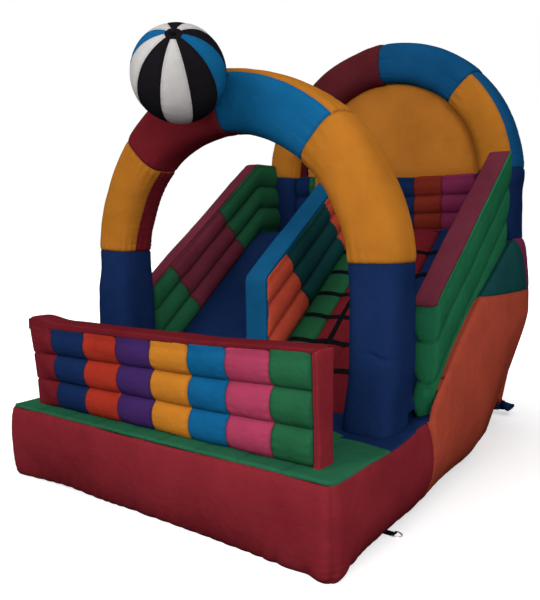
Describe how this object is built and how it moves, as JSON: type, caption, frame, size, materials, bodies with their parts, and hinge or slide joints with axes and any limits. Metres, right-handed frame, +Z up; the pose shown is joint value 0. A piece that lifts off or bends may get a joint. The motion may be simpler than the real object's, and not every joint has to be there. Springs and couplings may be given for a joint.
{
  "type": "inflatable slide",
  "caption": "Inflatable slide with a landing bed, a barrier of tubes, arches at the front and the back, a slide lane and a climbing lane with a strap ladder.",
  "frame": {"origin": "on the ground under the middle of the slide, on the flat underside of the ramp", "axes": "+Z up, +Y from the landing bed towards the tower, +X towards the climbing lane's side"},
  "size_m": [2.7042, 3.5703, 3.302],
  "materials": {
    "sheet_crimson": "coated polyester sheet, sewn, slightly glossy",
    "sheet_navy": "coated polyester sheet, sewn, slightly glossy",
    "sheet_sky": "coated polyester sheet, sewn, slightly glossy",
    "sheet_yellow": "coated polyester sheet, sewn, slightly glossy",
    "sheet_orange": "coated polyester sheet, sewn, slightly glossy",
    "sheet_purple": "coated polyester sheet, sewn, slightly glossy",
    "sheet_pink": "coated polyester sheet, sewn, slightly glossy",
    "sheet_green": "coated polyester sheet, sewn, slightly glossy",
    "sheet_teal": "coated polyester sheet, sewn, slightly glossy",
    "sheet_white": "coated polyester sheet, sewn, slightly glossy",
    "webbing": "woven polyester webbing, matt",
    "zip_tape": "woven tape with moulded teeth",
    "steel": "plated steel"
  },
  "bodies": {
    "slide_body": {"landing_bed": "sheet_crimson", "landing_deck": "sheet_green", "leg_band": "sheet_navy", "ramp_core": "sheet_navy", "side_chamber_left": "sheet_orange", "side_chamber_right": "sheet_orange", "side_panel_left": "sheet_teal", "side_panel_right": "sheet_teal", "rear_chamber": "sheet_orange", "barrier_frame": "sheet_crimson", "barrier_navy": "sheet_navy", "barrier_orange": "sheet_orange", "barrier_purple": "sheet_purple", "barrier_yellow": "sheet_yellow", "barrier_sky": "sheet_sky", "barrier_pink": "sheet_pink", "barrier_green": "sheet_green", "front_leg_left": "sheet_navy", "front_leg_right": "sheet_navy", "front_arch_yellow_left": "sheet_yellow", "front_arch_crimson": "sheet_crimson", "front_arch_sky": "sheet_sky", "front_arch_yellow_right": "sheet_yellow", "left_wall_green_front": "sheet_green", "left_wall_crimson": "sheet_crimson", "left_wall_green_rear": "sheet_green", "left_wall_cap": "sheet_crimson", "right_wall": "sheet_green", "right_wall_cap": "sheet_crimson", "divider_orange": "sheet_orange", "divider_teal": "sheet_teal", "divider_cap": "sheet_sky", "slide_lane": "sheet_navy", "climb_tube_green": "sheet_green", "climb_tubes_crimson": "sheet_crimson", "climb_tubes_navy": "sheet_navy", "climbing_net": "webbing", "platform": "sheet_navy", "back_wall_navy": "sheet_navy", "back_wall_orange": "sheet_orange", "back_wall_purple": "sheet_purple", "back_leg_left": "sheet_navy", "back_leg_right": "sheet_navy", "back_arch_yellow_left": "sheet_yellow", "back_arch_crimson": "sheet_crimson", "back_arch_sky": "sheet_sky", "back_arch_yellow_right": "sheet_yellow", "backdrop": "sheet_yellow", "arch_ball": "sheet_white", "inflation_sleeve": "sheet_navy", "zip_strip": "zip_tape", "anchor_tab_front_left": "webbing", "anchor_tab_front_right": "webbing", "anchor_tab_rear_left": "webbing", "anchor_tab_rear_right": "webbing"},
    "zip_slider": {"zip_slider": "steel"},
    "d_ring_front_left": {"d_ring_front_left": "steel"},
    "d_ring_front_right": {"d_ring_front_right": "steel"},
    "d_ring_rear_left": {"d_ring_rear_left": "steel"},
    "d_ring_rear_right": {"d_ring_rear_right": "steel"}
  },
  "joints": [
    {"name": "zip_travel", "type": "slide", "parent": "slide_body", "child": "zip_slider", "axis": [1, 0, 0], "range_m": [0, 0.64]},
    {"name": "ring_hinge_front_left", "type": "hinge", "parent": "slide_body", "child": "d_ring_front_left", "pos_m": [-1.30224, -0.99, 0.007], "axis": [0, 1, 0], "range_deg": [0, 90]},
    {"name": "ring_hinge_front_right", "type": "hinge", "parent": "slide_body", "child": "d_ring_front_right", "pos_m": [1.30224, -0.99, 0.007], "axis": [0, -1, 0], "range_deg": [0, 90]},
    {"name": "ring_hinge_rear_left", "type": "hinge", "parent": "slide_body", "child": "d_ring_rear_left", "pos_m": [-1.07587, 0.55, 0.007], "axis": [0, 1, 0], "range_deg": [0, 58]},
    {"name": "ring_hinge_rear_right", "type": "hinge", "parent": "slide_body", "child": "d_ring_rear_right", "pos_m": [1.07587, 0.55, 0.007], "axis": [0, -1, 0], "range_deg": [0, 58]}
  ]
}
